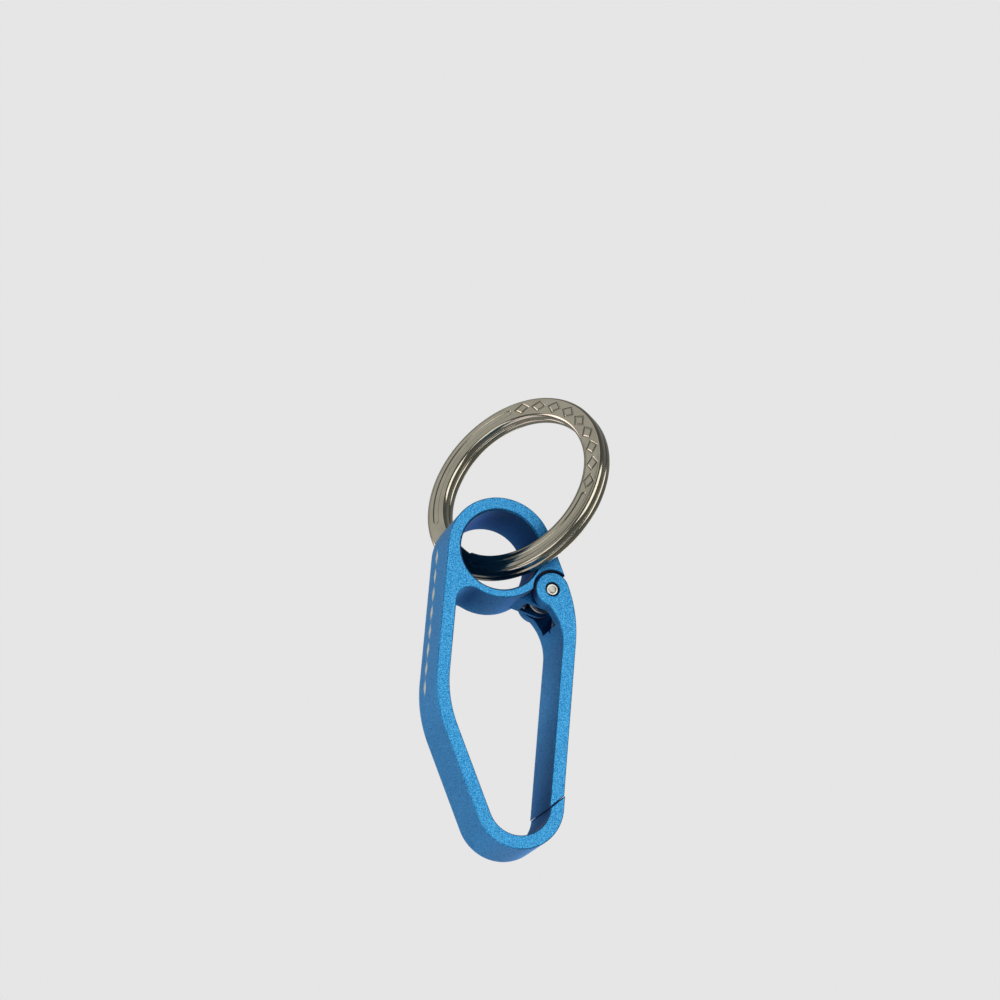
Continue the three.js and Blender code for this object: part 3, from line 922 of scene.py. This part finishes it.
def add_world():
    """A dim studio round the object: mid grey behind it, and darker in front."""
    world = bpy.data.worlds.new("studio")
    world.use_nodes = True
    tree = world.node_tree
    place = tree.nodes.new("ShaderNodeTexCoord")
    split = tree.nodes.new("ShaderNodeSeparateXYZ")
    tree.links.new(place.outputs["Generated"], split.inputs["Vector"])
    ramp = tree.nodes.new("ShaderNodeMapRange")
    ramp.inputs["From Min"].default_value = -0.4
    ramp.inputs["From Max"].default_value = 0.7
    ramp.inputs["To Min"].default_value = 0.11
    ramp.inputs["To Max"].default_value = 0.27
    tree.links.new(split.outputs["Y"], ramp.inputs["Value"])
    background = tree.nodes["Background"]
    background.inputs["Color"].default_value = (0.92, 0.96, 1.0, 1)
    tree.links.new(ramp.outputs["Result"], background.inputs["Strength"])
    bpy.context.scene.world = world


def add_lights():
    """One broad key in front, four softboxes round the sides and a small one below."""
    far = 0.9
    near = 0.3
    rosy = (1.0, 0.88, 0.93)
    lilac = (1.0, 0.9, 1.0)
    add_softbox("front_key", (0.32, -0.92, 0.22), far, (0.9, 0.9), 1.9)
    add_softbox("left_back", (-0.9, 0.35, 0.0), far, (0.5, 0.6), 2.7, rosy)
    add_softbox("from_below", (-0.3, 0.15, -0.9), near, (0.35, 0.35), 1.1, lilac)
    add_softbox("left_top", (-0.75, 0.1, 0.66), far, (0.5, 0.6), 0.42)
    add_softbox("left_front", (-0.68, -0.68, -0.3), far, (0.6, 0.6), 1.3)
    add_softbox("right_back", (0.7, 0.66, -0.27), far, (0.6, 0.6), 1.6)


# ---------------------------------------------------------------- assembly

def dress(piece, material, body, node):
    """Gives the piece its material, hides the CAD node it stands for and hangs it on the body it rides on.
    """
    piece.data.materials.clear()
    piece.data.materials.append(material)
    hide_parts(node)
    if body:
        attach(piece, body)


def build():
    blue = blue_anodised()
    steel = drawn_wire()
    dress(carabiner_body(), blue, "carabiner", "carabiner_body")
    dress(gate(), blue, "gate", "gate")
    dress(hinge_pin(), bright_steel(), "carabiner", "hinge_pin")
    dress(spring_coil(), steel, "carabiner", "torsion_spring")
    leg = spring_leg()
    dress(leg, steel, None, "torsion_spring")
    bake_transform(leg)
    dress(split_ring(), satin_nickel(), "ring", "split_ring")


bpy.context.scene.view_settings.view_transform = "Standard"
add_camera()
add_world()
add_stage()
add_lights()
build()
